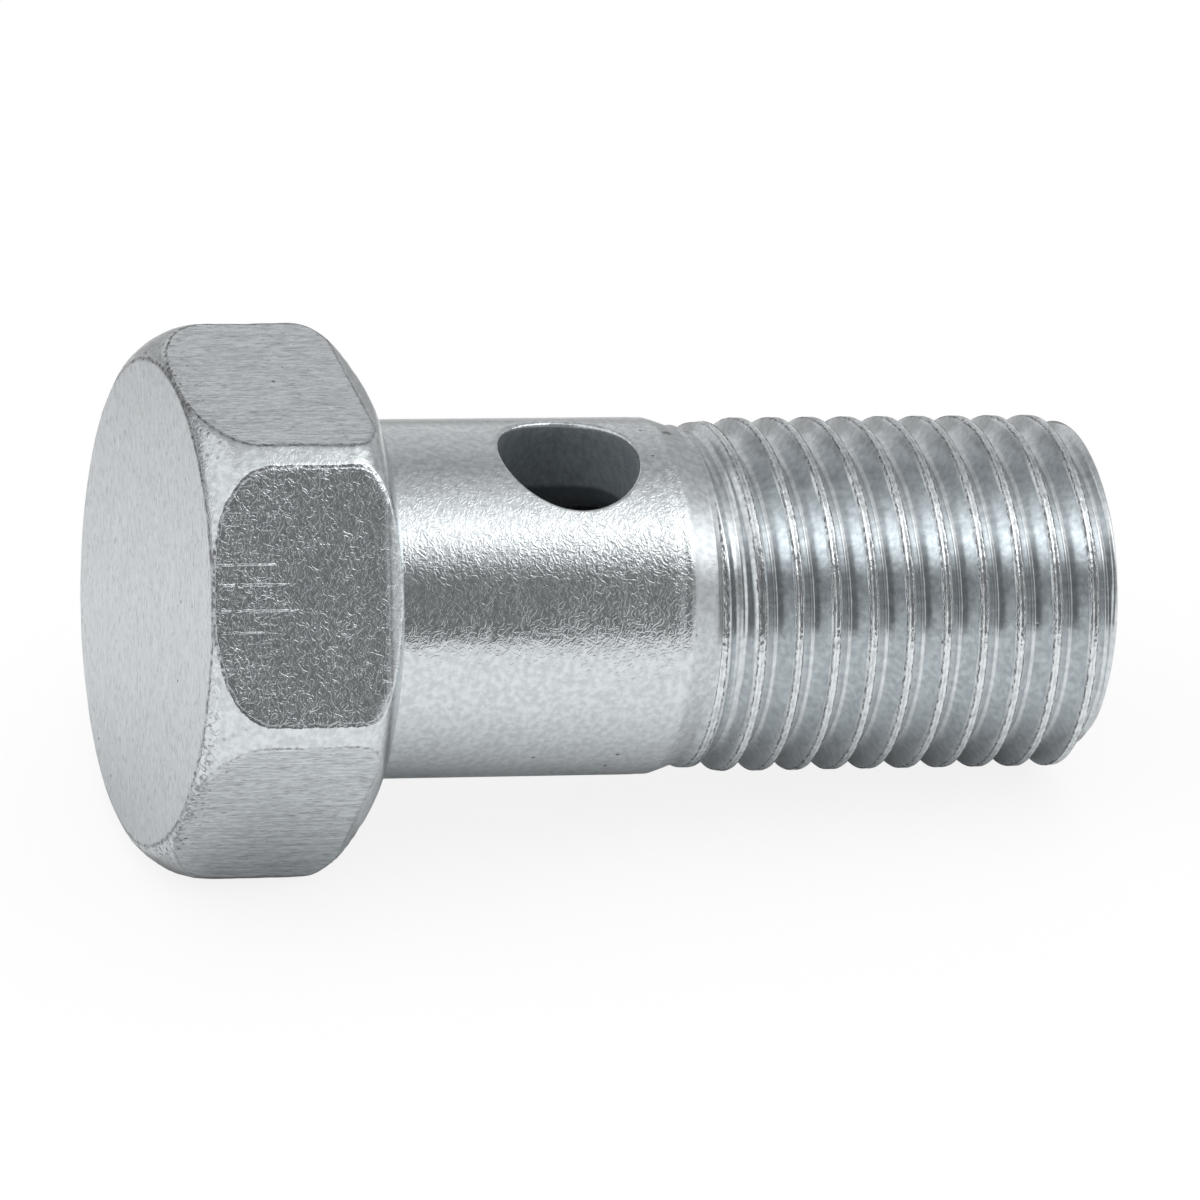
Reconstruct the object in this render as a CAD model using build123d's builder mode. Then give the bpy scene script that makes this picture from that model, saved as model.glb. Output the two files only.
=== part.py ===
from build123d import *
import math
import os

# A banjo bolt: a hollow M14 x 1.5 bolt that clamps a banjo fitting and feeds fluid
# through it. It is forged, turned and rolled from one piece of steel, so it is one solid.
#
# Sizes are in millimetres and degrees. A "place" is a distance along the bolt from its
# bearing face, the round face under the head: positive towards the thread's tip.

# Hexagon head
head_sides = 6
across_flats = 18.9
corner_diameter = 21.4
head_height = 7.7
end_face_diameter = 18.6
crown_length = 2.05
crown_rise = 0.25
bearing_diameter = 18.0
bearing_chamfer_angle = 30.0
flat_chamfer_length = 0.7
flat_chamfer_width = 0.4
underhead_cone_size = 0.4

# Plain shank, the seat of the banjo fitting, and the neck where the thread starts
shank_diameter = 13.85
shank_length = 11.9
neck_diameter = 13.1
neck_taper_length = 1.4

# Rolled thread, with each of its turns drawn level
thread_diameter = 13.75
thread_pitch = 1.5
thread_depth = 0.9
thread_crest_width = 0.28
thread_run_in_length = 1.9
length_below_head = 29.8
tip_face_diameter = 11.7
tip_chamfer_length = 1.0

# Passages for the fluid: one hole across the shank, and a blind bore from the tip
cross_hole_diameter = 5.5
cross_hole_place = 8.1
cross_hole_turn = 8.5
cross_hole_edge_size = 0.15
bore_diameter = 7.0
bore_past_cross_hole = 0.9
bore_mouth_chamfer = 0.4
drill_point_angle = 118.0

# How far a groove's cutting section reaches past the crests
cutter_overreach = 0.2

node_name = "banjo_bolt"

# Radii and places that follow from the sizes above
flat_radius = across_flats / 2
corner_radius = corner_diameter / 2
end_face_radius = end_face_diameter / 2
bearing_radius = bearing_diameter / 2
shank_radius = shank_diameter / 2
neck_radius = neck_diameter / 2
thread_radius = thread_diameter / 2
tip_face_radius = tip_face_diameter / 2
cross_hole_radius = cross_hole_diameter / 2
bore_radius = bore_diameter / 2
bearing_chamfer_slope = math.tan(math.radians(bearing_chamfer_angle))
bearing_chamfer_place = (bearing_radius - corner_radius) * bearing_chamfer_slope
neck_place = shank_length + neck_taper_length
full_thread_place = neck_place + thread_run_in_length
tip_chamfer_place = length_below_head - tip_chamfer_length


def crown_middle():
    """Point half-way round the crowned edge, between the end face and the corners."""
    run = corner_radius - end_face_radius
    chord = math.hypot(run, crown_length)
    middle_radius = (end_face_radius + corner_radius) / 2 + crown_rise * crown_length / chord
    middle_place = crown_length / 2 - crown_rise * run / chord - head_height
    return (middle_radius, middle_place)


# The bolt is made standing on its head: Z is its axis, with zero at the bearing face,
# and X points through the flat that it will rest on. Turned shapes start from a plane at
# 45 degrees to X, so that their seams run clear of the cross hole.
turning_plane = Plane(origin=(0, 0, 0), x_dir=(1, -1, 0), z_dir=(-1, -1, 0))

# Head: a hexagon whose flats are chamfered towards the bearing face, with its corners,
# crowned edge and bearing chamfer turned to shape
with BuildPart() as head:
    with BuildSketch(Plane.XY.offset(-head_height)):
        RegularPolygon(flat_radius, head_sides, major_radius=False, rotation=180 / head_sides)
    extrude(amount=head_height)
    bearing_side = head.faces().sort_by(Axis.Z).last
    chamfer(bearing_side.edges(), flat_chamfer_width, flat_chamfer_length, reference=bearing_side)
    with BuildSketch(turning_plane):
        Polygon(
            (0, -head_height),
            (end_face_radius, -head_height),
            crown_middle(),
            (corner_radius, crown_length - head_height),
            (corner_radius, bearing_chamfer_place),
            (bearing_radius, 0),
            (0, 0),
            align=None,
        )
    revolve(axis=Axis.Z, mode=Mode.INTERSECT)

# Thread: a row of V grooves one pitch apart. The last crest ends where the tip's chamfer
# starts, and a cone of steel fills the roots of the first grooves, so that they fade in.
root_radius = thread_radius - thread_depth
flank_slope = (thread_pitch - thread_crest_width) / 2 / thread_depth
mouth_radius = thread_radius + cutter_overreach
mouth_half_width = (mouth_radius - root_radius) * flank_slope
last_groove_place = tip_chamfer_place - (thread_pitch + thread_crest_width) / 2
groove_count = math.ceil((last_groove_place - neck_place) / thread_pitch)
groove_centres = [(0, last_groove_place - turn * thread_pitch) for turn in range(groove_count)]
with BuildSketch(turning_plane) as groove_sections:
    with Locations(*groove_centres):
        Polygon(
            (root_radius, 0),
            (mouth_radius, -mouth_half_width),
            (mouth_radius, mouth_half_width),
            align=None,
        )
    Polygon(
        (root_radius, neck_place - thread_pitch),
        (neck_radius, neck_place - thread_pitch),
        (neck_radius, neck_place),
        (root_radius, full_thread_place),
        align=None,
        mode=Mode.SUBTRACT,
    )

# The whole bolt: the head, the turned shank and thread blank, then what is cut from them
bore_end_place = cross_hole_place - cross_hole_radius - bore_past_cross_hole
drill_point_length = bore_radius / math.tan(math.radians(drill_point_angle / 2))
hole_angle = math.radians(180 + cross_hole_turn)
hole_plane = Plane(
    origin=(0, 0, cross_hole_place), z_dir=(math.cos(hole_angle), math.sin(hole_angle), 0)
)
with BuildPart() as upright_bolt:
    add(head.part)
    with BuildSketch(turning_plane):
        Polygon(
            (0, -head_height / 2),
            (shank_radius + underhead_cone_size, -head_height / 2),
            (shank_radius + underhead_cone_size, 0),
            (shank_radius, underhead_cone_size),
            (shank_radius, shank_length),
            (neck_radius, neck_place),
            (thread_radius, full_thread_place),
            (thread_radius, tip_chamfer_place),
            (tip_face_radius, length_below_head),
            (0, length_below_head),
            align=None,
        )
    revolve(axis=Axis.Z)
    add(groove_sections.sketch)
    revolve(axis=Axis.Z, mode=Mode.SUBTRACT)
    with BuildSketch(hole_plane):
        Circle(cross_hole_radius)
    extrude(amount=corner_radius, both=True, mode=Mode.SUBTRACT)
    hole_rims = upright_bolt.edges(Select.LAST).filter_by(GeomType.LINE, reverse=True)
    chamfer(hole_rims, cross_hole_edge_size)
    with BuildSketch(turning_plane):
        Polygon(
            (0, bore_end_place - drill_point_length),
            (bore_radius, bore_end_place),
            (bore_radius, length_below_head - bore_mouth_chamfer),
            (bore_radius + bore_mouth_chamfer, length_below_head),
            (0, length_below_head),
            align=None,
        )
    revolve(axis=Axis.Z, mode=Mode.SUBTRACT)

# At rest the bolt lies on one flat of its head and on the end of its thread. Its axis
# dips towards the tip by the angle that lets both touch the ground.
dip = math.atan2(flat_radius - thread_radius, tip_chamfer_place + flat_chamfer_length)
axis_height = flat_radius * math.cos(dip) - flat_chamfer_length * math.sin(dip)
head_reach = head_height * math.cos(dip) + end_face_radius * math.sin(dip)
tip_reach = length_below_head * math.cos(dip) + tip_face_radius * math.sin(dip)
lying_plane = Plane(
    origin=((head_reach - tip_reach) / 2, 0, axis_height),
    x_dir=(-math.sin(dip), 0, -math.cos(dip)),
    z_dir=(math.cos(dip), 0, -math.sin(dip)),
)
with BuildPart() as banjo_bolt:
    with Locations(lying_plane.location):
        add(upright_bolt.part)

os.makedirs("parts", exist_ok=True)
banjo_bolt.part.label = node_name
export_step(banjo_bolt.part, f"parts/{node_name}.step")
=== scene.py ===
import bmesh
import bpy
import math
import numpy as np
from mathutils import Matrix, Vector, noise


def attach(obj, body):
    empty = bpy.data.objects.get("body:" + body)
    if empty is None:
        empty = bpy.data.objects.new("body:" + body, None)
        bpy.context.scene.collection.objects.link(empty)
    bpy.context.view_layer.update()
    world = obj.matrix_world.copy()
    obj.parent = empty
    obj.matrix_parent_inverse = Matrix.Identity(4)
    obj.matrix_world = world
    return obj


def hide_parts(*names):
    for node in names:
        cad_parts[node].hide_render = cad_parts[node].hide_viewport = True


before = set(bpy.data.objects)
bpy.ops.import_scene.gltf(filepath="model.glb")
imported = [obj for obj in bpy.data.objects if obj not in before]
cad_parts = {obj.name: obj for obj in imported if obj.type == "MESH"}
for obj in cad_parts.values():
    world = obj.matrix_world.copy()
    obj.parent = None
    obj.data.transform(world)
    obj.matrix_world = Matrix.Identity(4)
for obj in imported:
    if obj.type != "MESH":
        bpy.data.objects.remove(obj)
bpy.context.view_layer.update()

# A zinc-plated banjo bolt, lying on a flat of its head and the end of its thread.
#
# Sizes are in millimetres and degrees, and METRES turns them into the frame's metres.
# A "place" is a distance along the bolt from its bearing face, positive towards the tip.
# An "angle" runs round the bolt from the flat that it rests on, through +Y.
METRES = 0.001

# Hexagon head
flat_radius = 18.9 / 2
corner_radius = 21.4 / 2
head_height = 7.7
end_face_radius = 18.6 / 2
crown_length = 2.8
crown_fall = 1.2
crown_fullness = 2.66
rim_fall = 0.24
rim_fall_length = 0.06
forging_wave_depth = 0.03
forging_wave_size = 0.8
forging_grain_depth = 0.01
forging_grain_size = 0.25
forging_inset = 0.035
bearing_radius = 18.0 / 2
bearing_round_length = 2.1
bearing_fullness = 2.8
outline_softness = 0.1
flat_chamfer_length = 0.7
flat_chamfer_width = 0.4
flat_edge_softness = 0.09
flat_inset = 0.004

# Shank, neck and the fillet under the head
shank_radius = 13.85 / 2
shank_length = 12.2
neck_radius = 13.1 / 2
neck_place = 13.3
neck_edge_softness = 0.05
underhead_radius = 0.4

# Right-hand rolled thread. At crest_angle a crest is centred on crest_place.
thread_radius = 13.75 / 2
thread_pitch = 1.5
thread_depth = 0.9
flank_slope = math.tan(math.radians(60.0))
crest_half_width = 0.14
crest_softness = 0.03
crest_end_softness = 0.03
root_softness = 0.4
filled_root_softness = 0.04
crest_seam_depth = 0.03
crest_seam_half_width = 0.04
crest_roughness = 0.015
crest_roughness_size = 0.4
crest_roughness_middle = 0.6
crest_wander = 0.02
crest_wander_size = 1.5
relief_radius = 6.8
crest_place = 13.3
crest_angle = 199.0
full_depth_place = 15.2
full_crest_place = 15.5
low_crest_start_place = 13.7
low_crest_end_place = 14.6
low_crest_radius = 6.69
low_crest_rise = 0.02
groove_fade_length = 0.3
length_below_head = 29.8
tip_face_radius = 11.7 / 2
tip_face_inset = 0.01
tip_ring_width = 0.1
tip_chamfer_length = 1.0
tip_fullness = 2.5
tip_first_slope = 0.09

# Passages
cross_hole_radius = 5.5 / 2
cross_hole_place = 8.1
cross_hole_angle = 8.5
cross_hole_round = 0.15
cross_hole_lip = 0.13
bore_radius = 7.0 / 2
bore_end_place = 4.45
bore_mouth_chamfer = 0.4
drill_point_slope = math.tan(math.radians(90 - 118 / 2))

# Studio: levels where 1 is white. What the metal reflects of its surroundings is given by
# the angle over the bolt, from the front horizon (0) through overhead to the back (180).
# A ray that leans far enough towards the tip sees right_levels instead of studio_levels,
# and one that leans towards the head sees left_level, or left_back_level behind the bolt.
studio_levels = (
    (0, 0.20), (43, 0.21), (55, 0.37), (64, 0.85), (72, 1.28), (81, 0.98),
    (93, 0.76), (108, 0.56), (122, 0.41), (142, 0.61), (180, 0.76),
)
right_levels = (
    (0, 0.90), (20, 0.50), (40, 0.34), (54, 1.50), (67, 2.90), (80, 2.10),
    (92, 1.40), (104, 0.78), (124, 0.50), (180, 0.55),
)
right_range = (0.345, 0.45)
left_level = 1.0
left_back_level = 0.30
left_range = (-0.6, -0.35)
left_back_range = (0.4, 0.65)

# The even dome that lights the bolt softly, darker near the horizon
soft_level = 0.86
soft_low_level = 0.22
soft_range = (0.3, 0.6)
softbox_distance = 0.6
softbox_strength = 1.2

# Floor, in the frame's metres. For reflections it has painted shade behind the bolt and a
# painted shadow under its head. For the camera it is white by camera_share, and keeps the
# shadow in the rest.
floor_half_size = 3.0
floor_drop = 0.00002
floor_front_level = 0.92
floor_back_shade_level = 0.42
floor_back_range = (0.012, 0.08)
floor_painted_shadow_share = 0.72
under_head_middle = -0.0143
under_head_along_range = (0.0045, 0.0052)
under_head_across_range = (0.0045, 0.0095)
camera_share = 0.86

# Grid of the mesh. head_rows and end_face_rings hold an end and a count for each stretch.
shank_columns = 256
head_columns_per_flat = 64
head_inner_share = 0.7
head_inner_angle = 26.0
head_rows = (
    (-head_height + 0.3, 4),
    (-head_height + crown_length + 0.2, 18),
    (-bearing_round_length - 0.1, 8),
    (-0.1, 15),
    (0.0, 2),
)
end_face_insets = (0.04, 0.12, 0.4, 1.0)
end_face_rings = ((6.0, 128), (3.0, 48), (1.0, 16))
bearing_face_insets = (0.06, 0.3)
fillet_ring_gaps = (0.25, 0.05)
fillet_end_length = 0.2
fillet_end_rows = 2
shank_rows = 12
shank_end_length = 0.1
shank_end_rows = 5
neck_rows = 6
drill_point_radii = (3.3, 2.4, 1.6, 0.8)
quarter_round_step = 18.0
hole_wall_rows = 8
bore_columns = 132
bore_rows = 14
bore_end_length = 0.1
bore_mouth_rows = 3
opening_rings = 5
window_half_columns = 26
window_rows = 24
shank_window_half_length = 3.6
bore_window_half_length = 3.4
patch_rings = 10
patch_crowding = 1.6
helix_start_place = 13.0
helix_end_gap = 0.005
thread_row_offsets = (
    -0.75, -0.63, -0.52, -0.38, -0.25, -0.16, -0.125, -0.085, -0.04,
    0.0, 0.04, 0.085, 0.125, 0.16, 0.25, 0.38, 0.52, 0.63,
)

# Where the bolt lies: its axis dips towards the tip by the angle at which both the edge
# of a flat and the end of the thread touch the ground
tip_chamfer_place = length_below_head - tip_chamfer_length
dip = math.atan2(flat_radius - thread_radius, tip_chamfer_place + flat_chamfer_length)
head_reach = head_height * math.cos(dip) + end_face_radius * math.sin(dip)
tip_reach = length_below_head * math.cos(dip) + tip_face_radius * math.sin(dip)
bolt_origin = np.array((
    (head_reach - tip_reach) / 2,
    0.0,
    flat_radius * math.cos(dip) - flat_chamfer_length * math.sin(dip),
))
bolt_along = np.array((math.cos(dip), 0.0, -math.sin(dip)))
bolt_down = np.array((-math.sin(dip), 0.0, -math.cos(dip)))
bolt_side = np.array((0.0, 1.0, 0.0))

# The angle that points upward in the photograph
upward_angle = 150.0

# Zinc plating: its worms as scale, depth and width, in patches per mm and mm
worm_layers = ((3.0, 0.0050, 0.14), (5.0, 0.0022, 0.15))
swell_depth = 0.004
grain_depth = 0.0018
zinc_dark_colour = (0.48, 0.51, 0.53, 1.0)
zinc_light_colour = (0.78, 0.82, 0.84, 1.0)
# Colour of dark marks: dirt and pits, and painted shade along edges, crests and wrinkles
dirt_and_shade_colour = (0.10, 0.10, 0.11, 1.0)
hole_dark_colour = (0.06, 0.07, 0.08, 1.0)
hole_lit_colour = (0.29, 0.33, 0.35, 1.0)
lit_hole_radius = 4.3

# Marks of wear: pits as place, angle, radius and size, and chatter marks on the flat that
# faces the front, as place, height on the flat, half length and half width
pit_marks = (
    (12.6, 174.0, 6.85, 0.20),
    (12.4, 175.0, 6.9, 0.13),
    (11.4, 190.0, 6.92, 0.07),
    (4.2, 330.0, 6.92, 0.06),
    (-7.1, 214.0, 9.7, 0.10),
    (-6.7, 281.0, 9.9, 0.12),
    (-7.0, 287.0, 9.8, 0.10),
    (-3.1, 172.0, 9.5, 0.06),
)
chatter_marks = (
    (-6.4, 1.22, 1.3, 0.05),
    (-6.0, 0.47, 1.5, 0.06),
    (-5.9, -0.51, 1.7, 0.05),
    (-6.6, -1.34, 1.0, 0.05),
)


def soft_min(first, second, softness):
    """The smaller of two radii, rounded where they cross."""
    share = np.clip(0.5 + 0.5 * (second - first) / softness, 0.0, 1.0)
    return second + (first - second) * share - softness * share * (1.0 - share)


def soft_max(first, second, softness):
    """The larger of two radii, rounded where they cross."""
    return -soft_min(-first, -second, softness)


def evenly(start, end, count):
    """count places from just after start up to end."""
    return [start + (end - start) * (step + 1) / count for step in range(count)]


def relief(place, angle, radius, grain):
    """Smooth noise from about -1 to 1 on the bolt's surface, with patches of about grain mm."""
    turn = np.radians(angle)
    points = np.stack([place, radius * np.cos(turn), radius * np.sin(turn)], axis=-1) / grain
    values = np.array([noise.noise(Vector(point)) for point in points.reshape(-1, 3)])
    return values.reshape(points.shape[:-1])


def once_round(loop, angles):
    """A closed loop's points and angles in order, with the first point again at the end.

    An infinite angle follows the last one, so that a loop that is done is never next.
    """
    turns = angles % 360.0
    order = np.argsort(turns)
    points = loop[order].tolist()
    return points + points[:1], [*turns[order], turns[order[0]] + 360.0, math.inf]


class Skin:
    """Gathers the bolt's surface as points given by place, angle and radius."""

    def __init__(self):
        self.blocks = []
        self.faces = []
        self.count = 0

    def points(self, place, angle, radius):
        """Adds points, and returns their numbers in an array of the same shape."""
        place, angle, radius = np.broadcast_arrays(place, angle, radius)
        numbers = np.arange(place.size).reshape(place.shape) + self.count
        self.blocks.append(np.stack([place.ravel(), angle.ravel(), radius.ravel()], axis=1))
        self.count += place.size
        return numbers

    def join(self, loops, keep=slice(None)):
        """Joins each closed loop to the next one with quads, all or those that keep says."""
        rows = np.array(loops)
        right = np.roll(rows, -1, axis=1)
        quads = np.stack([rows[:-1], right[:-1], right[1:], rows[1:]], axis=-1)
        self.faces.extend(quads[keep].reshape(-1, 4).tolist())

    def stitch(self, first, first_angles, second, second_angles):
        """Joins two closed loops of different point counts with a ring of triangles."""
        first, first_turns = once_round(first, first_angles)
        second, second_turns = once_round(second, second_angles)
        first_step = second_step = 0
        for _ in range(len(first_angles) + len(second_angles)):
            start, end = first[first_step], second[second_step]
            if first_turns[first_step + 1] <= second_turns[second_step + 1]:
                first_step += 1
                self.faces.append([start, first[first_step], end])
            else:
                second_step += 1
                self.faces.append([start, second[second_step], end])

    def fan(self, loop, place):
        """Closes a loop with triangles that meet in a new point on the bolt's axis."""
        middle = int(self.points(place, 0.0, 0.0))
        for first, second in zip(loop.tolist(), np.roll(loop, -1).tolist()):
            self.faces.append([first, second, middle])


def crown_and_round(place):
    """Radius of the head's turned outline: crowned edge, corners and bearing-side round."""
    from_end_face = place + head_height
    to_end_face = 1.0 - np.clip(from_end_face / crown_length, 0.0, 1.0)
    crown = corner_radius - crown_fall * to_end_face**crown_fullness
    crown = crown - rim_fall * np.exp(-from_end_face / rim_fall_length)
    to_bearing = 1.0 - np.clip(-place / bearing_round_length, 0.0, 1.0)
    bearing_side = corner_radius - (corner_radius - bearing_radius) * to_bearing**bearing_fullness
    return soft_min(crown, bearing_side, outline_softness)


def forged_outline(place, angle):
    """Radius of the head's turned outline, with the slight unevenness of a forging."""
    turned = crown_and_round(place)
    waves = forging_wave_depth * relief(place, angle, turned, forging_wave_size)
    grain = forging_grain_depth * relief(place, angle, turned, forging_grain_size)
    return turned - forging_inset + waves + grain


def from_flat_middle(angle):
    """Angle in radians from the middle of the nearest flat of the head."""
    return np.radians((angle + 30.0) % 60.0 - 30.0)


def head_radius(place, angle):
    """Radius of the head: six flats with a chamfer, inside the turned outline."""
    chamfer_share = np.clip(-place / flat_chamfer_length, 0.0, 1.0)
    to_flat = flat_radius - flat_chamfer_width * (1.0 - chamfer_share)
    hexagon = (to_flat - flat_inset) / np.cos(from_flat_middle(angle))
    return soft_min(hexagon, forged_outline(place, angle), flat_edge_softness)


def distance_to_flat(place, angle):
    """Distance to the outline of the nearest flat of the head, negative on the flat."""
    step = 0.02
    turn = step / flat_radius

    def gap(at_place, at_angle):
        return flat_radius / np.cos(at_angle) - crown_and_round(at_place)

    middle = from_flat_middle(angle)
    slope_along = (gap(place + step, middle) - gap(place - step, middle)) / (2.0 * step)
    slope_round = (gap(place, middle + turn) - gap(place, middle - turn)) / (2.0 * step)
    steepness = np.maximum(np.hypot(slope_along, slope_round), 0.2)
    gap_here = flat_radius / np.cos(middle) - forged_outline(place, angle)
    return np.clip(np.maximum(gap_here / steepness, place + flat_chamfer_length), -2.0, 2.0)


def thread_phase(place, angle):
    """Distance along the bolt to the nearest crest's middle, from -pitch/2 to pitch/2."""
    crest = crest_place + thread_pitch * (angle - crest_angle) / 360.0
    return (place - crest + thread_pitch / 2) % thread_pitch - thread_pitch / 2


def neck_and_thread_radius(place, angle):
    """Radius of the neck's taper and of the thread that follows it, up to the tip."""
    outline = (
        (shank_length, shank_radius),
        (neck_place, neck_radius),
        (low_crest_start_place, low_crest_radius),
        (low_crest_end_place, low_crest_radius + low_crest_rise),
        (full_crest_place, thread_radius),
    )
    blank = np.interp(place, *zip(*outline))
    past = np.clip((place - tip_chamfer_place) / tip_chamfer_length, 0.0, 1.0)
    tip_fall = thread_radius - tip_face_radius - tip_first_slope
    blank = blank - tip_first_slope * past - tip_fall * past**tip_fullness

    wander = crest_wander * relief(place, angle, relief_radius, crest_wander_size)
    phase = np.abs(thread_phase(place + wander, angle))
    flank = soft_max((phase - crest_half_width) * flank_slope, 0.0 * phase, crest_softness)
    groove = soft_min(flank, thread_depth, root_softness)
    seam = crest_seam_depth * np.exp(-((phase / crest_seam_half_width) ** 2))
    crest_zone = np.clip(1.5 - phase / crest_half_width, 0.0, 1.0)
    roughness = relief(place, angle, relief_radius, crest_roughness_size)
    roughness = roughness + crest_roughness_middle
    groove = groove + crest_zone * crest_roughness * roughness + seam
    filled_roots = np.interp(
        place,
        (neck_place, full_depth_place, full_depth_place + 0.1),
        (neck_radius, thread_radius - thread_depth, 0.0),
    )
    carved = soft_max(thread_radius - groove, filled_roots, filled_root_softness)
    fade = np.clip((place - neck_place) / groove_fade_length, 0.0, 1.0)
    carved = carved + groove_fade_length * (1.0 - fade)
    return np.where(fade > 0.0, soft_min(blank, carved, crest_end_softness), blank)


def head_angles():
    """Angles of the head's columns, which are closer together near the corners."""
    half = head_columns_per_flat // 2
    inner_count = round(half * head_inner_share)
    inner = np.linspace(0.0, head_inner_angle, inner_count, endpoint=False)
    outer = np.linspace(head_inner_angle, 30.0, half - inner_count, endpoint=False)
    side = np.concatenate([inner, outer])
    other_side = 60.0 - np.concatenate([side[1:], [30.0]])[::-1]
    one_flat = np.concatenate([side, other_side])
    return np.concatenate([one_flat + 60.0 * flat for flat in range(6)])


def add_head(skin):
    """Adds the head, from the middle of its end face to its bearing face's outer edge.

    Returns the last loop and its angles.
    """
    angles = head_angles()
    places = [-head_height]
    start = -head_height
    for end, count in head_rows:
        places += evenly(start, end, count)
        start = end
    loops = []
    for place in places:
        radius = head_radius(np.full_like(angles, place), angles)
        loops.append(skin.points(place, angles, radius))
    skin.join(loops)

    rim = head_radius(np.full_like(angles, -head_height), angles)
    inner_loops = [loops[0]]
    for inset in end_face_insets:
        inner_loops.append(skin.points(-head_height, angles, rim - inset))
    skin.join(inner_loops)
    loop, loop_angles = inner_loops[-1], angles
    for radius, count in end_face_rings:
        next_angles = np.arange(count) * 360.0 / count
        next_loop = skin.points(-head_height, next_angles, radius)
        skin.stitch(loop, loop_angles, next_loop, next_angles)
        loop, loop_angles = next_loop, next_angles
    skin.fan(loop, -head_height)

    edge = head_radius(np.zeros_like(angles), angles)
    bearing = [loops[-1]]
    for inset in bearing_face_insets:
        bearing.append(skin.points(0.0, angles, edge - inset))
    skin.join(bearing)
    return bearing[-1], angles


def window_loop(numbers, centre_column, first_row):
    """What a closed grid holds round a window in it, such as points' numbers, in order."""
    columns = numbers.shape[1]
    steps = range(-window_half_columns, window_half_columns + 1)
    near = [(centre_column + step) % columns for step in steps]
    last_row = first_row + window_rows
    loop = [numbers[first_row, column] for column in near[:-1]]
    loop += [numbers[row, near[-1]] for row in range(first_row, last_row)]
    loop += [numbers[last_row, column] for column in near[:0:-1]]
    loop += [numbers[row, near[0]] for row in range(last_row, first_row, -1)]
    return np.array(loop)


def window_offsets(half_angle, half_length):
    """Angles and places, from the window's middle, of the points that window_loop gives."""
    across = np.linspace(-half_angle, half_angle, 2 * window_half_columns + 1)
    along = np.linspace(-half_length, half_length, window_rows + 1)
    angles, places = np.meshgrid(across, along)
    return [window_loop(values, window_half_columns, 0) for values in (angles, places)]


def outside_windows(rows, columns, first_row):
    """Which quads of a closed grid are kept: all but those in the two windows."""
    keep = np.ones((rows - 1, columns), bool)
    for centre_column in (0, columns // 2):
        for step in range(-window_half_columns, window_half_columns):
            keep[first_row:first_row + window_rows, (centre_column + step) % columns] = False
    return keep


def hole_points(skin, hole_angle, radius, height, direction):
    """Adds a loop round the cross hole, at a height from the bolt's axis."""
    sideways = radius * np.sin(direction)
    angle = hole_angle + np.degrees(np.arctan2(sideways, height))
    place = cross_hole_place + radius * np.cos(direction)
    return skin.points(place, angle, np.hypot(sideways, height))


def add_cross_hole(skin, hole_angle, shank_window, bore_window):
    """Adds one side of the cross hole, from a window of the shank to one of the bore."""
    shank_half_angle = window_half_columns * 360.0 / shank_columns
    bore_half_angle = window_half_columns * 360.0 / bore_columns
    across, along = window_offsets(shank_half_angle, shank_window_half_length)
    direction = np.arctan2(np.radians(across) * shank_radius, along)
    sideways = np.sin(direction)

    round_radius = cross_hole_round + cross_hole_lip * np.maximum(-sideways, 0.0) ** 2
    rim_radius = cross_hole_radius + round_radius
    rim_angle = np.degrees(np.arcsin(rim_radius * sideways / shank_radius))
    rim_along = rim_radius * np.cos(direction)
    loops = [shank_window]
    for ring in range(1, patch_rings + 1):
        share = 1.0 - (1.0 - ring / patch_rings) ** patch_crowding
        angle = hole_angle + across + (rim_angle - across) * share
        place = cross_hole_place + along + (rim_along - along) * share
        loops.append(skin.points(place, angle, shank_radius))
    for step in range(1, 6):
        turn = math.radians(step * quarter_round_step)
        radius = rim_radius - round_radius * math.sin(turn)
        surface = np.sqrt(shank_radius**2 - (radius * sideways) ** 2)
        height = surface - round_radius * (1.0 - math.cos(turn))
        loops.append(hole_points(skin, hole_angle, radius, height, direction))

    top = np.sqrt(shank_radius**2 - (cross_hole_radius * sideways) ** 2) - round_radius
    bottom = np.sqrt(bore_radius**2 - (cross_hole_radius * sideways) ** 2)
    for share in evenly(0.0, 1.0, hole_wall_rows):
        height = top + (bottom - top) * share
        loops.append(hole_points(skin, hole_angle, cross_hole_radius, height, direction))

    bore_across, bore_along = window_offsets(bore_half_angle, bore_window_half_length)
    opening_angle = np.degrees(np.arcsin(cross_hole_radius * sideways / bore_radius))
    opening_along = cross_hole_radius * np.cos(direction)
    for share in evenly(0.0, 1.0, opening_rings)[:-1]:
        angle = hole_angle + opening_angle + (bore_across - opening_angle) * share
        place = cross_hole_place + opening_along + (bore_along - opening_along) * share
        loops.append(skin.points(place, angle, bore_radius))
    loops.append(bore_window)
    skin.join(loops)


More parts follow.
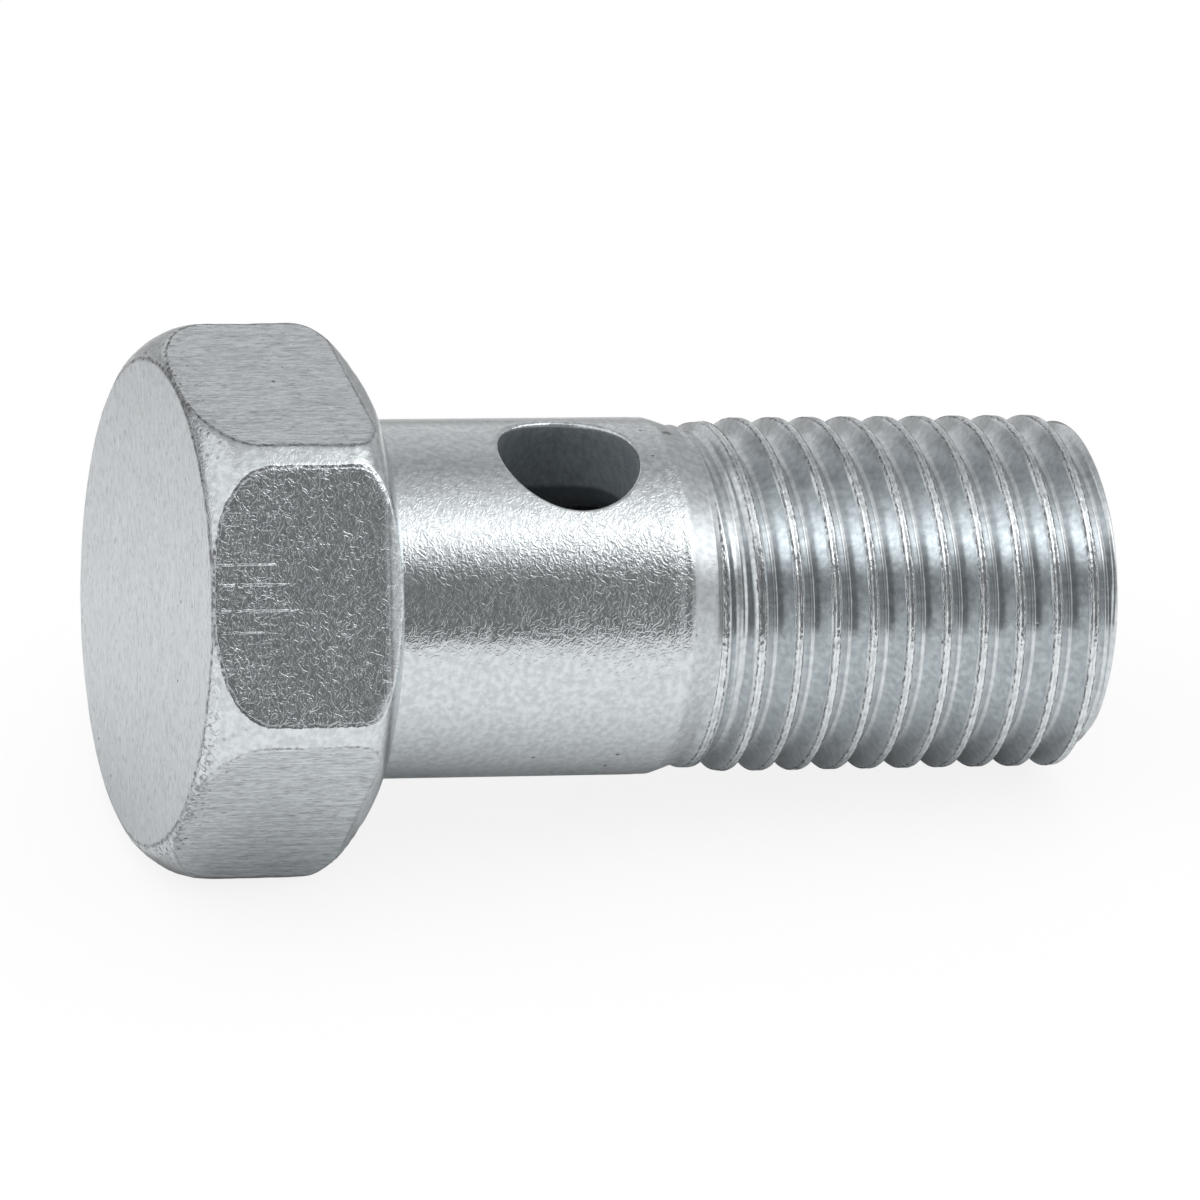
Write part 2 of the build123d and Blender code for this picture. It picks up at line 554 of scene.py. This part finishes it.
def add_shank(skin, bearing_loop, bearing_angles):
    """Adds the surface from the bearing face, past the fillet and shank, to the neck.

    Returns the shank's two windows, and the last loop with its angles.
    """
    angles = cross_hole_angle + np.arange(shank_columns) * 360.0 / shank_columns
    fillet_radius = shank_radius + underhead_radius
    face_loops = [skin.points(0.0, angles, fillet_radius + gap) for gap in fillet_ring_gaps]
    skin.stitch(bearing_loop, bearing_angles, face_loops[0], angles)
    for step in range(6):
        turn = math.radians(step * quarter_round_step)
        radius = fillet_radius - underhead_radius * math.sin(turn)
        place = underhead_radius * (1.0 - math.cos(turn))
        face_loops.append(skin.points(place, angles, radius))
    skin.join(face_loops)

    window_start = cross_hole_place - shank_window_half_length
    window_end = cross_hole_place + shank_window_half_length
    fillet_end = underhead_radius + fillet_end_length
    places = evenly(underhead_radius, fillet_end, fillet_end_rows)
    places += evenly(fillet_end, window_start, shank_rows)
    first_row = len(places) - 1
    places += evenly(window_start, window_end, window_rows)
    place_grid, angle_grid = np.meshgrid(places, angles, indexing="ij")
    numbers = skin.points(place_grid, angle_grid, shank_radius)
    skin.join([face_loops[-1], numbers[0]])
    skin.join(numbers, outside_windows(len(places), shank_columns, first_row))
    windows = [window_loop(numbers, column, first_row) for column in (0, shank_columns // 2)]

    shank_end = shank_length + shank_end_length
    neck_places = evenly(window_end, shank_end, shank_end_rows)
    neck_places += evenly(shank_end, helix_start_place, neck_rows)
    neck_loops = [numbers[-1]]
    for place in neck_places:
        radius = neck_and_thread_radius(np.full_like(angles, place), angles)
        radius = soft_min(radius, shank_radius + 0.0 * radius, neck_edge_softness)
        neck_loops.append(skin.points(place, angles, radius))
    skin.join(neck_loops)
    return windows, neck_loops[-1], angles


def add_thread(skin, first_loop, angles):
    """Adds the thread on rows that follow its helix, level at both ends. Returns the last loop."""
    shares = np.arange(shank_columns) / shank_columns
    offsets = np.array(thread_row_offsets)
    first_crest = crest_place + thread_pitch * (angles[0] - crest_angle) / 360.0
    first_turn = math.floor((helix_start_place - first_crest) / thread_pitch) - 2
    last_turn = math.ceil((length_below_head - first_crest) / thread_pitch) + 1
    turns = np.arange(first_turn, last_turn + 1)
    row_places = (first_crest + turns[:, None] * thread_pitch + offsets[None, :]).ravel()
    rows_per_turn = len(offsets)

    place = row_places[:, None] + thread_pitch * shares[None, :]
    below = place <= helix_start_place + helix_end_gap
    above = place >= length_below_head - helix_end_gap
    inside = ~(below | above)
    place = np.clip(place, helix_start_place, length_below_head)
    angle = np.broadcast_to(angles[None, :], place.shape)
    radius = neck_and_thread_radius(place[inside], angle[inside])
    end_loop = skin.points(length_below_head, angles, tip_face_radius - tip_face_inset)

    numbers = np.zeros(place.shape, int)
    numbers[inside] = skin.points(place[inside], angle[inside], radius)
    numbers[below] = np.broadcast_to(first_loop[None, :], place.shape)[below]
    numbers[above] = np.broadcast_to(end_loop[None, :], place.shape)[above]

    row_count = place.shape[0] - rows_per_turn
    right = np.empty((row_count, shank_columns), int)
    right[:, :-1] = numbers[:row_count, 1:]
    right[:, -1] = numbers[rows_per_turn:, 0]
    left = numbers[:row_count]
    quads = np.stack([left[:-1], right[:-1], right[1:], left[1:]], axis=-1)
    for quad in quads.reshape(-1, 4).tolist():
        # At the level ends corners coincide, which leaves a triangle or nothing of a quad
        corners = list(dict.fromkeys(quad))
        if len(corners) > 2:
            skin.faces.append(corners)
    return end_loop


def add_bore(skin, tip_loop, tip_angles):
    """Adds the tip's face, the bore and its drill point. Returns the bore's windows."""
    angles = cross_hole_angle + np.arange(bore_columns) * 360.0 / bore_columns
    mouth_radius = bore_radius + bore_mouth_chamfer
    inner_tip_loop = skin.points(length_below_head, tip_angles, tip_face_radius - tip_ring_width)
    skin.join([tip_loop, inner_tip_loop])
    mouth = skin.points(length_below_head, angles, mouth_radius + tip_ring_width)
    skin.stitch(inner_tip_loop, tip_angles, mouth, angles)
    mouth_end = length_below_head - bore_mouth_chamfer
    loops = [mouth, skin.points(length_below_head, angles, mouth_radius)]
    for share in evenly(0.0, 1.0, bore_mouth_rows):
        place = length_below_head - bore_mouth_chamfer * share
        loops.append(skin.points(place, angles, mouth_radius - bore_mouth_chamfer * share))
    skin.join(loops)

    window_start = cross_hole_place - bore_window_half_length
    window_end = cross_hole_place + bore_window_half_length
    places = [bore_end_place, window_start]
    first_row = len(places) - 1
    places += evenly(window_start, window_end, window_rows)
    places += evenly(window_end, mouth_end - bore_end_length, bore_rows)
    place_grid, angle_grid = np.meshgrid(places, angles, indexing="ij")
    numbers = skin.points(place_grid, angle_grid, bore_radius)
    skin.join(numbers, outside_windows(len(places), bore_columns, first_row))
    skin.join([numbers[-1], loops[-1]])

    cone = [numbers[0]]
    for radius in drill_point_radii:
        place = bore_end_place - (bore_radius - radius) * drill_point_slope
        cone.append(skin.points(place, angles, radius))
    skin.join(cone)
    skin.fan(cone[-1], bore_end_place - bore_radius * drill_point_slope)
    return [window_loop(numbers, column, first_row) for column in (0, bore_columns // 2)]


def bolt_mesh():
    """Builds the bolt's closed mesh, and gives each point's place, angle and radius."""
    skin = Skin()
    bearing_loop, bearing_angles = add_head(skin)
    shank_windows, neck_loop, angles = add_shank(skin, bearing_loop, bearing_angles)
    tip_loop = add_thread(skin, neck_loop, angles)
    bore_windows = add_bore(skin, tip_loop, angles)
    for side in range(2):
        hole_angle = cross_hole_angle + 180.0 * side
        add_cross_hole(skin, hole_angle, shank_windows[side], bore_windows[side])

    place, angle, radius = np.concatenate(skin.blocks).T
    turn = np.radians(angle)
    points = bolt_origin + place[:, None] * bolt_along
    points = points + (radius * np.cos(turn))[:, None] * bolt_down
    points = points + (radius * np.sin(turn))[:, None] * bolt_side
    mesh = bpy.data.meshes.new("banjo_bolt_skin")
    mesh.from_pydata((points * METRES).tolist(), [], skin.faces)
    mesh.validate()

    builder = bmesh.new()
    builder.from_mesh(mesh)
    bmesh.ops.recalc_face_normals(builder, faces=builder.faces)
    builder.to_mesh(mesh)
    builder.free()
    mesh.polygons.foreach_set("use_smooth", np.ones(len(mesh.polygons), bool))
    return mesh, place, angle, radius


class Graph:
    """The nodes of a material or the world, with short calls for those used here."""

    def __init__(self, owner):
        owner.use_nodes = True
        self.nodes = owner.node_tree.nodes
        self.links = owner.node_tree.links

    def new(self, kind):
        """Adds a node, named without the word ShaderNode."""
        return self.nodes.new("ShaderNode" + kind)

    def put(self, value, socket):
        """Links a socket to another, or sets its value."""
        if isinstance(value, bpy.types.NodeSocket):
            self.links.new(value, socket)
        else:
            socket.default_value = value

    def attribute(self, name, output="Fac"):
        """Reads one of the mesh's own attributes."""
        node = self.new("Attribute")
        node.attribute_name = name
        return node.outputs[output]

    def math(self, operation, first, second=0.0, third=0.0):
        """One arithmetic step."""
        node = self.new("Math")
        node.operation = operation
        for value, socket in zip((first, second, third), node.inputs):
            self.put(value, socket)
        return node.outputs[0]

    def minus(self, first, second):
        """Difference of two numbers."""
        return self.math("SUBTRACT", first, second)

    def times(self, first, *others):
        """Product of two or more numbers."""
        for other in others:
            first = self.math("MULTIPLY", first, other)
        return first

    def parts(self, vector):
        """The three parts of a vector."""
        node = self.new("SeparateXYZ")
        self.put(vector, node.inputs[0])
        return node.outputs

    def vector_math(self, operation, vector, other=(0.0, 0.0, 0.0)):
        """Node that takes one step with a vector and a fixed one."""
        node = self.new("VectorMath")
        node.operation = operation
        self.put(vector, node.inputs[0])
        node.inputs[1].default_value = other
        return node

    def length(self, vector):
        """Length of a vector."""
        return self.vector_math("LENGTH", vector).outputs["Value"]

    def distance(self, vector, point):
        """Distance from a vector to a fixed point."""
        return self.vector_math("DISTANCE", vector, point).outputs["Value"]

    def stretch(self, vector, factors):
        """Multiplies a vector's parts by factors."""
        return self.vector_math("MULTIPLY", vector, factors).outputs[0]

    def ramp(self, fraction, levels):
        """Level at an angle, given as a fraction of a half turn, from pairs of angle and level."""
        node = self.new("ValToRGB")
        node.color_ramp.interpolation = "EASE"
        self.put(fraction, node.inputs["Fac"])
        stops = node.color_ramp.elements
        for number, (angle, level) in enumerate(levels):
            stop = stops[number] if number < 2 else stops.new(1.0)
            stop.position = angle / 180.0
            stop.color = (level, level, level, 1.0)
        return node.outputs["Color"]

    def noise(self, vector, scale, detail=2.0, distortion=0.0):
        """Noise from 0 to 1."""
        node = self.new("TexNoise")
        self.put(vector, node.inputs["Vector"])
        node.inputs["Scale"].default_value = scale
        node.inputs["Detail"].default_value = detail
        node.inputs["Distortion"].default_value = distortion
        return node.outputs["Fac"]

    def spots(self, vector, scale):
        """Distance to the nearest of many scattered points."""
        node = self.new("TexVoronoi")
        self.put(vector, node.inputs["Vector"])
        node.inputs["Scale"].default_value = scale
        return node.outputs["Distance"]

    def spread(self, value, low, high, new_low=0.0, new_high=1.0):
        """Maps a range to another one, smoothly."""
        node = self.new("MapRange")
        node.interpolation_type = "SMOOTHSTEP"
        for number, socket in zip((value, low, high, new_low, new_high), node.inputs):
            self.put(number, socket)
        return node.outputs["Result"]

    def blend(self, share, first, second, kind="FLOAT"):
        """Mixes two numbers."""
        node = self.new("Mix")
        node.data_type = kind
        self.put(share, node.inputs["Factor"])
        self.put(first, node.inputs["A"])
        self.put(second, node.inputs["B"])
        return node.outputs["Result"]

    def blend_colour(self, share, first, second):
        """Mixes two colours."""
        return self.blend(share, first, second, "RGBA")


class Surface:
    """What a material knows about a point: its place and the zones that it lies in.

    place runs along the bolt, up follows the photograph's upward direction and front
    points out of the flat that faces the camera. A zone is a share from 0 to 1.
    """

    def __init__(self, graph):
        self.where = graph.attribute("bolt_mm", "Vector")
        self.place, self.up, self.front = graph.parts(self.where)
        self.flat_distance = graph.attribute("flat_distance")
        self.rim_distance = graph.attribute("rim_distance")
        self.crest_distance = graph.attribute("crest_distance")
        self.inside = graph.attribute("inside")

        self.on_flat = graph.spread(self.flat_distance, -0.04, 0.0, 1.0, 0.0)
        self.on_end = graph.spread(self.rim_distance, 0.0, 0.04)
        off_flat = graph.minus(1.0, self.on_flat)
        on_head = graph.spread(self.place, -0.3, 0.0, 1.0, 0.0)
        self.on_corner = graph.times(on_head, off_flat)

        near_rim = graph.spread(self.rim_distance, -1.6, -0.2)
        near_rim = graph.minus(near_rim, self.on_end)
        from_middle = graph.math("ABSOLUTE", self.up)
        less_in_middle = graph.spread(from_middle, 4.0, 6.5, 0.15, 1.0)
        self.near_rim = graph.times(near_rim, less_in_middle)

        crest_end = crest_half_width + 0.05
        self.on_crest = graph.spread(self.crest_distance, crest_half_width, crest_end, 1.0, 0.0)
        on_thread = graph.spread(self.crest_distance, 0.8, 0.95, 1.0, 0.0)
        self.on_flank = graph.minus(on_thread, self.on_crest)
        past_shank = graph.spread(self.place, shank_length - 0.1, shank_length + 0.15)
        before_thread = graph.spread(self.place, neck_place, neck_place + 0.3, 1.0, 0.0)
        self.past_shank = past_shank
        self.on_neck = graph.times(past_shank, before_thread)

        on_front_flat = graph.spread(self.front, 9.2, 9.35, 0.0, 0.85)
        less_near_rim = graph.spread(self.place, -5.5, -3.5, 0.3, 1.0)
        crinkled = graph.times(on_front_flat, less_near_rim)
        self.is_drawn = graph.times(self.on_flat, graph.minus(1.0, crinkled))


def crinkle_height(graph, surface):
    """Height of the plating's fine worm-like crinkle, in millimetres."""
    where = surface.where
    worms = 0.0
    for scale, depth, width in worm_layers:
        ridges = graph.minus(graph.noise(where, scale, 0.6, 1.3), 0.5)
        ridges = graph.spread(graph.math("ABSOLUTE", ridges), 0.0, width, 1.0, 0.0)
        worms = graph.math("MULTIPLY_ADD", ridges, depth, worms)
    swells = graph.times(graph.noise(where, 1.8, 1.0, 0.4), swell_depth)
    grains = graph.times(graph.noise(where, 11.0, 1.0), grain_depth)
    crinkle = graph.math("ADD", graph.math("ADD", worms, swells), grains)

    strength = graph.spread(graph.noise(where, 0.6, 1.0), 0.3, 0.7, 0.8, 1.2)
    from_smooth_part = graph.math("ABSOLUTE", graph.minus(surface.place, 3.0))
    less_by_head = graph.spread(from_smooth_part, 2.5, 5.5, 0.65, 1.0)
    strength = graph.times(strength, less_by_head)
    strength = graph.math("ADD", strength, graph.times(surface.near_rim, 1.2))
    strength = graph.math("ADD", strength, graph.times(surface.on_flat, 0.12))

    calm = graph.times(surface.past_shank, 0.75)
    for zone, share in ((surface.on_flank, 0.94), (surface.on_end, 0.5), (surface.on_corner, 0.5)):
        calm = graph.math("MAXIMUM", calm, graph.times(zone, share))
    strength = graph.times(strength, graph.minus(1.0, calm))
    return graph.times(crinkle, strength)


def edge_line(graph, where, distance, half_width, wobble, strength):
    """A thin uneven line where a distance is zero, as a share from 0 to strength."""
    shift = graph.minus(graph.noise(where, 4.0, 2.0), 0.5)
    away = graph.math("ABSOLUTE", graph.math("MULTIPLY_ADD", shift, wobble, distance))
    line = graph.spread(away, half_width * 0.3, half_width, strength, 0.0)
    faintness = graph.spread(graph.noise(where, 5.0, 2.0), 0.35, 0.65, 0.3, 1.0)
    return graph.times(line, faintness)


def painted_edge_shade(graph, surface):
    """Dark lines round the flats and the end face, beside the crests and in their seams: painted
    shade of small steps and grooves.
    """
    where = surface.where
    past_lip = graph.minus(surface.crest_distance, crest_half_width)
    flat_line, rim_line, crest_line, seam_line = (
        edge_line(graph, where, distance, half_width, wobble, strength)
        for distance, half_width, wobble, strength in (
            (surface.flat_distance, 0.085, 0.11, 0.9),
            (surface.rim_distance, 0.06, 0.16, 0.85),
            (past_lip, 0.05, 0.09, 0.85),
            (surface.crest_distance, 0.045, 0.08, 0.3),
        )
    )
    fainter_below = graph.spread(surface.up, -6.5, -5.0, 0.5, 1.0)
    fainter_at_bearing = graph.spread(surface.place, -2.2, -1.0, 1.0, 0.6)
    flat_line = graph.times(flat_line, fainter_below, fainter_at_bearing)
    return [flat_line, rim_line, crest_line, seam_line]


def rim_marks(graph, surface):
    """Dark wrinkles in the crown along the rim of the end face, painted shade in the folds of its
    bead, and pits.
    """
    where = surface.where
    wrinkles = graph.minus(graph.noise(where, 2.6, 1.0, 1.3), 0.5)
    wrinkles = graph.spread(graph.math("ABSOLUTE", wrinkles), 0.015, 0.05, 0.65, 0.0)
    beside_rim = graph.spread(surface.rim_distance, -0.6, -0.2)
    beside_rim = graph.minus(beside_rim, surface.on_end)
    less_above = graph.spread(surface.up, -5.0, -3.0, 1.0, 0.35)
    wrinkles = graph.times(wrinkles, beside_rim, less_above)
    pits = graph.spread(graph.spots(where, 2.8), 0.14, 0.28, 0.7, 0.0)
    return [wrinkles, graph.times(pits, surface.near_rim)]


def dashes(graph, where, factors, zone):
    """Short dark dashes in a zone, drawn out by factors on the three coordinates."""
    speckle = graph.noise(graph.stretch(where, factors), 1.0, 1.0)
    return graph.times(graph.spread(speckle, 0.60, 0.72, 0.0, 0.4), zone)


def bolt_point(place, angle, radius):
    """A point in the coordinates of bolt_mm."""
    turn = math.radians(angle - upward_angle)
    return (place, radius * math.cos(turn), radius * math.sin(turn))


def dark_marks(graph, surface):
    """Dark specks and pits, and the painted shade of edges, crests and the rim's wrinkles, as a
    share from 0 to 1.
    """
    where = surface.where
    dark = graph.spread(graph.spots(where, 0.5), 0.02, 0.05, 0.8, 0.0)
    marks = painted_edge_shade(graph, surface) + rim_marks(graph, surface)
    marks.append(dashes(graph, where, (2.2, 13.0, 13.0), surface.is_drawn))
    marks.append(dashes(graph, where, (1.0, 2.6, 12.0), surface.on_end))
    for place, angle, radius, size in pit_marks:
        away = graph.distance(where, bolt_point(place, angle, radius))
        marks.append(graph.spread(away, 0.6 * size, size, 0.8, 0.0))
    for mark in marks:
        dark = graph.math("MAXIMUM", dark, mark)
    return dark


def chatter_lines(graph, surface):
    """Chatter marks across the left of the flat that faces the front, from 0 to 1."""
    where = surface.where
    wobble = graph.minus(graph.noise(where, 3.0, 2.0), 0.5)
    wobble = graph.times(wobble, 0.12)
    on_front_flat = graph.spread(surface.front, 9.35, 9.4)
    lines = 0.0
    for place, height, half_length, half_width in chatter_marks:
        along = graph.minus(surface.place, place)
        along = graph.math("DIVIDE", along, half_length)
        across = graph.math("ADD", graph.minus(surface.up, height), wobble)
        across = graph.math("DIVIDE", across, half_width)
        along = graph.math("POWER", along, 4.0)
        away = graph.math("ADD", along, graph.math("POWER", across, 2.0))
        line = graph.times(graph.spread(away, 0.1, 1.0, 1.0, 0.0), on_front_flat)
        lines = graph.math("MAXIMUM", lines, line)
    faintness = graph.spread(graph.noise(where, 2.0, 2.0), 0.35, 0.55, 0.2, 1.0)
    return graph.times(lines, faintness)


def streaks(graph, where, long_factors, short_factors):
    """Noise from 0 to 1 in long and short streaks, drawn out by factors."""
    long_streaks = graph.noise(graph.stretch(where, long_factors), 1.0, 2.0)
    short_streaks = graph.noise(graph.stretch(where, short_factors), 1.0, 1.0)
    return graph.blend(0.6, long_streaks, short_streaks)


def hole_colour(graph, where):
    """Dull plating in the passages, darker below the depth that the light reaches."""
    up_the_hole = graph.noise(graph.stretch(where, (5.0, 0.7, 5.0)), 1.0, 2.0)
    from_axis = graph.length(graph.stretch(where, (0.0, 1.0, 1.0)))
    lit = graph.spread(from_axis, lit_hole_radius - 0.15, lit_hole_radius + 0.1, 0.15, 1.0)
    lit = graph.times(lit, graph.spread(up_the_hole, 0.3, 0.7, 0.7, 1.0))
    return graph.blend_colour(lit, hole_dark_colour, hole_lit_colour)


def zinc_material():
    """Bright zinc plating on steel, with a fine crinkle, drawn lines, some dirt and painted shade.
    """
    material = bpy.data.materials.new("zinc_plated_steel")
    graph = Graph(material)
    shader = graph.nodes["Principled BSDF"]
    surface = Surface(graph)
    where = surface.where
    drawn = streaks(graph, where, (0.35, 7.0, 7.0), (2.0, 9.0, 9.0))
    faced = streaks(graph, where, (1.0, 0.5, 7.0), (1.0, 2.2, 7.0))
    crest = graph.noise(graph.stretch(where, (6.0, 3.0, 3.0)), 1.0, 1.0)
    dark = dark_marks(graph, surface)

    height = crinkle_height(graph, surface)
    for part, depth, zone in (
        (crest, 0.03, surface.on_crest),
        (drawn, 0.009, surface.is_drawn),
        (faced, 0.014, surface.on_end),
        (chatter_lines(graph, surface), 0.02, 1.0),
        (dark, -0.014, 1.0),
    ):
        part_height = graph.times(part, depth, zone)
        height = graph.math("ADD", height, part_height)
    bump = graph.new("Bump")
    bump.inputs["Strength"].default_value = 1.0
    bump.inputs["Distance"].default_value = METRES
    graph.put(height, bump.inputs["Height"])

    lightness = graph.spread(graph.noise(where, 4.0, 2.0), 0.3, 0.7, 0.25, 0.75)
    for zone, part, low, high, new_low, new_high in (
        (surface.is_drawn, drawn, 0.34, 0.66, 0.12, 0.9),
        # The end face is darker than the zinc's own colour: painted shade, over its faced streaks
        (surface.on_end, faced, 0.34, 0.66, -0.19, 0.25),
        (surface.on_crest, crest, 0.3, 0.7, 0.35, 1.2),
    ):
        zone_lightness = graph.spread(part, low, high, new_low, new_high)
        lightness = graph.blend(zone, lightness, zone_lightness)
    # The neck's colour is darkened: painted shade that dims its highlight
    lightness = graph.minus(lightness, graph.times(surface.on_neck, 0.2))
    colour = graph.blend_colour(lightness, zinc_dark_colour, zinc_light_colour)
    # Dark specks and pits, with painted shade along edges, crests and the rim's wrinkles
    colour = graph.blend_colour(dark, colour, dirt_and_shade_colour)
    colour = graph.blend_colour(surface.inside, colour, hole_colour(graph, where))

    roughness = graph.spread(graph.noise(where, 5.0, 1.0), 0.3, 0.7, 0.10, 0.17)
    for zone, level in (
        (surface.on_flank, 0.20),
        (surface.on_neck, 0.34),
        (surface.inside, 0.5),
        (dark, 0.5),
    ):
        roughness = graph.math("MAXIMUM", roughness, graph.times(zone, level))
    metallic = graph.minus(1.0, graph.times(surface.inside, 0.7))
    graph.put(colour, shader.inputs["Base Color"])
    graph.put(roughness, shader.inputs["Roughness"])
    graph.put(metallic, shader.inputs["Metallic"])
    graph.put(bump.outputs["Normal"], shader.inputs["Normal"])
    return material


def mark_zones(mesh, place, angle, radius):
    """Stores, for the material, where each point is on the bolt and what it belongs to."""
    turn = np.radians(angle - upward_angle)
    bolt_mm = np.stack([place, radius * np.cos(turn), radius * np.sin(turn)], axis=1)
    vectors = mesh.attributes.new("bolt_mm", "FLOAT_VECTOR", "POINT")
    vectors.data.foreach_set("vector", bolt_mm.ravel())

    on_head = (place < 0.0) & (radius > bore_radius)
    flat_distance = np.where(on_head, distance_to_flat(place, angle), 1.0)
    on_end = place <= -head_height + 1e-6
    rim_distance = np.where(on_end, end_face_radius - radius, -(place + head_height))
    flat_distance = np.where(on_end, np.maximum(flat_distance, rim_distance + 0.05), flat_distance)
    wall_middle = (bore_radius + thread_radius - thread_depth) / 2
    threaded = (place > shank_length) & (place < length_below_head) & (radius > wall_middle)
    before_thread = np.clip((neck_place + 0.2 - place) / 0.3, 0.0, 1.0)
    crest_distance = np.where(threaded, np.abs(thread_phase(place, angle)) + before_thread, 1.0)
    depth = np.where((place > 0.0) & (place < shank_length), shank_radius - radius - 0.1, -1.0)
    inside = np.clip(depth / 0.1, 0.0, 1.0)
    inside = np.where((radius < bore_radius + 0.01) & ~on_end, 1.0, inside)
    for name, values in (
        ("flat_distance", flat_distance),
        ("rim_distance", rim_distance),
        ("crest_distance", crest_distance),
        ("inside", inside),
    ):
        mesh.attributes.new(name, "FLOAT", "POINT").data.foreach_set("value", values)


def show(piece):
    """Puts a new object into the scene."""
    bpy.context.scene.collection.objects.link(piece)


def add_bolt():
    """Makes the bolt's visible skin, which stands for the CAD node."""
    mesh, place, angle, radius = bolt_mesh()
    bolt = bpy.data.objects.new("banjo_bolt_skin", mesh)
    show(bolt)
    mark_zones(mesh, place, angle, radius)
    mesh.materials.append(zinc_material())
    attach(bolt, "root")
    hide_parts("banjo_bolt")


def floor_material():
    """Pale floor that the camera sees as nearly white, with painted shade behind the bolt and a
    painted shadow under its head in reflections.
    """
    material = bpy.data.materials.new("floor")
    graph = Graph(material)
    graph.nodes.clear()
    coordinates = graph.new("TexCoord")
    along, across, _ = graph.parts(coordinates.outputs["Object"])
    path = graph.new("LightPath")
    diffuse = graph.new("BsdfDiffuse")
    # For reflections, painted shade: darker towards the back, and a painted shadow under the head
    level = graph.spread(across, *floor_back_range, floor_front_level, floor_back_shade_level)
    from_middle = graph.math("ABSOLUTE", across)
    from_head = graph.math("ABSOLUTE", graph.minus(along, under_head_middle))
    clear_across = graph.spread(from_middle, *under_head_across_range)
    clear_along = graph.spread(from_head, *under_head_along_range)
    clear = graph.math("MAXIMUM", clear_across, clear_along)
    under_share = graph.spread(clear, 0.0, 1.0, floor_painted_shadow_share, 1.0)
    level = graph.times(level, under_share)
    level = graph.blend(path.outputs["Is Camera Ray"], level, floor_front_level)
    graph.put(level, diffuse.inputs["Color"])
    white = graph.new("Emission")
    mix = graph.new("MixShader")
    graph.put(graph.times(path.outputs["Is Camera Ray"], camera_share), mix.inputs[0])
    graph.put(diffuse.outputs[0], mix.inputs[1])
    graph.put(white.outputs[0], mix.inputs[2])
    output = graph.new("OutputMaterial")
    graph.put(mix.outputs[0], output.inputs["Surface"])
    return material


def add_floor():
    """Pale floor that fills the view and keeps the bolt's shadow."""
    mesh = bpy.data.meshes.new("floor")
    half = floor_half_size
    corners = [(-half, -half, 0), (half, -half, 0), (half, half, 0), (-half, half, 0)]
    mesh.from_pydata(corners, [], [(0, 1, 2, 3)])
    mesh.materials.append(floor_material())
    floor = bpy.data.objects.new("floor", mesh)
    floor.location.z = -floor_drop
    show(floor)


def add_softbox(name, direction, width, height):
    """Area light that faces the bolt, with its width level."""
    light = bpy.data.lights.new(name, "AREA")
    light.shape = "RECTANGLE"
    light.size = width
    light.size_y = height
    light.energy = softbox_strength * math.pi * width * height
    softbox = bpy.data.objects.new(name, light)
    out = Vector(direction).normalized()
    across = Vector((0.0, 0.0, 1.0)).cross(out).normalized()
    rotation = Matrix((across, out.cross(across), out)).transposed()
    softbox.matrix_world = Matrix.Translation(out * softbox_distance) @ rotation.to_4x4()
    softbox.visible_camera = False
    softbox.visible_glossy = False
    show(softbox)


def add_world():
    """Soft studio surroundings: a strip of light overhead, pale sides and a darker front."""
    world = bpy.data.worlds.new("studio")
    bpy.context.scene.world = world
    graph = Graph(world)
    graph.nodes.clear()
    coordinates = graph.new("TexCoord")
    x, y, z = graph.parts(coordinates.outputs["Generated"])
    to_front = graph.times(y, -1.0)
    over = graph.math("ARCTAN2", graph.math("MAXIMUM", z, 0.0), to_front)
    over = graph.math("DIVIDE", over, math.pi)
    is_right = graph.spread(x, *right_range)
    seen = graph.blend(
        is_right, graph.ramp(over, studio_levels), graph.ramp(over, right_levels)
    )
    left = graph.spread(y, *left_back_range, left_level, left_back_level)
    seen = graph.blend(graph.spread(x, *left_range, 1.0, 0.0), seen, left)
    path = graph.new("LightPath")
    soft = graph.spread(z, *soft_range, soft_low_level, soft_level)
    seen = graph.blend(path.outputs["Is Diffuse Ray"], seen, soft)
    seen = graph.blend(path.outputs["Is Camera Ray"], seen, 1.0)
    background = graph.new("Background")
    graph.put(seen, background.inputs["Color"])
    output = graph.new("OutputWorld")
    graph.put(background.outputs[0], output.inputs["Surface"])


def add_camera():
    """Camera of the photograph, placed from the middle of the bolt's bearing face.

    It turns by yaw about the bolt, rises by lift over it and tilts the picture by roll.
    The bearing face is face_right and face_up from the picture's middle, in millimetres.
    """
    yaw = math.radians(17.7)
    lift = math.radians(29.25)
    roll = math.radians(0.78)
    distance = 500.0
    face_right = -10.1
    face_up = 0.02
    front = np.array((0.0, -1.0, 0.0))
    up = -bolt_down
    towards = math.cos(lift) * front + math.sin(lift) * up
    over = math.cos(lift) * up - math.sin(lift) * front
    camera_z = math.cos(yaw) * towards - math.sin(yaw) * bolt_along
    level_x = math.cos(yaw) * bolt_along + math.sin(yaw) * towards
    camera_x = math.cos(roll) * level_x - math.sin(roll) * over
    camera_y = math.sin(roll) * level_x + math.cos(roll) * over
    place = bolt_origin - face_right * camera_x - face_up * camera_y + distance * camera_z

    data = bpy.data.cameras.new("camera")
    data.sensor_width = 36.0
    data.lens = 390.0
    data.clip_start = 0.05
    camera = bpy.data.objects.new("camera", data)
    basis = Matrix(np.column_stack([camera_x, camera_y, camera_z]).tolist())
    camera.matrix_world = Matrix.Translation(Vector(place * METRES)) @ basis.to_4x4()
    show(camera)
    bpy.context.scene.camera = camera


add_bolt()
add_floor()
add_world()
add_softbox("softbox_over", (0.1, -0.05, 0.98), 0.9, 0.3)
add_softbox("softbox_left", (-0.6, -0.05, 0.75), 0.5, 0.4)
add_camera()
bpy.context.scene.view_settings.view_transform = "Standard"
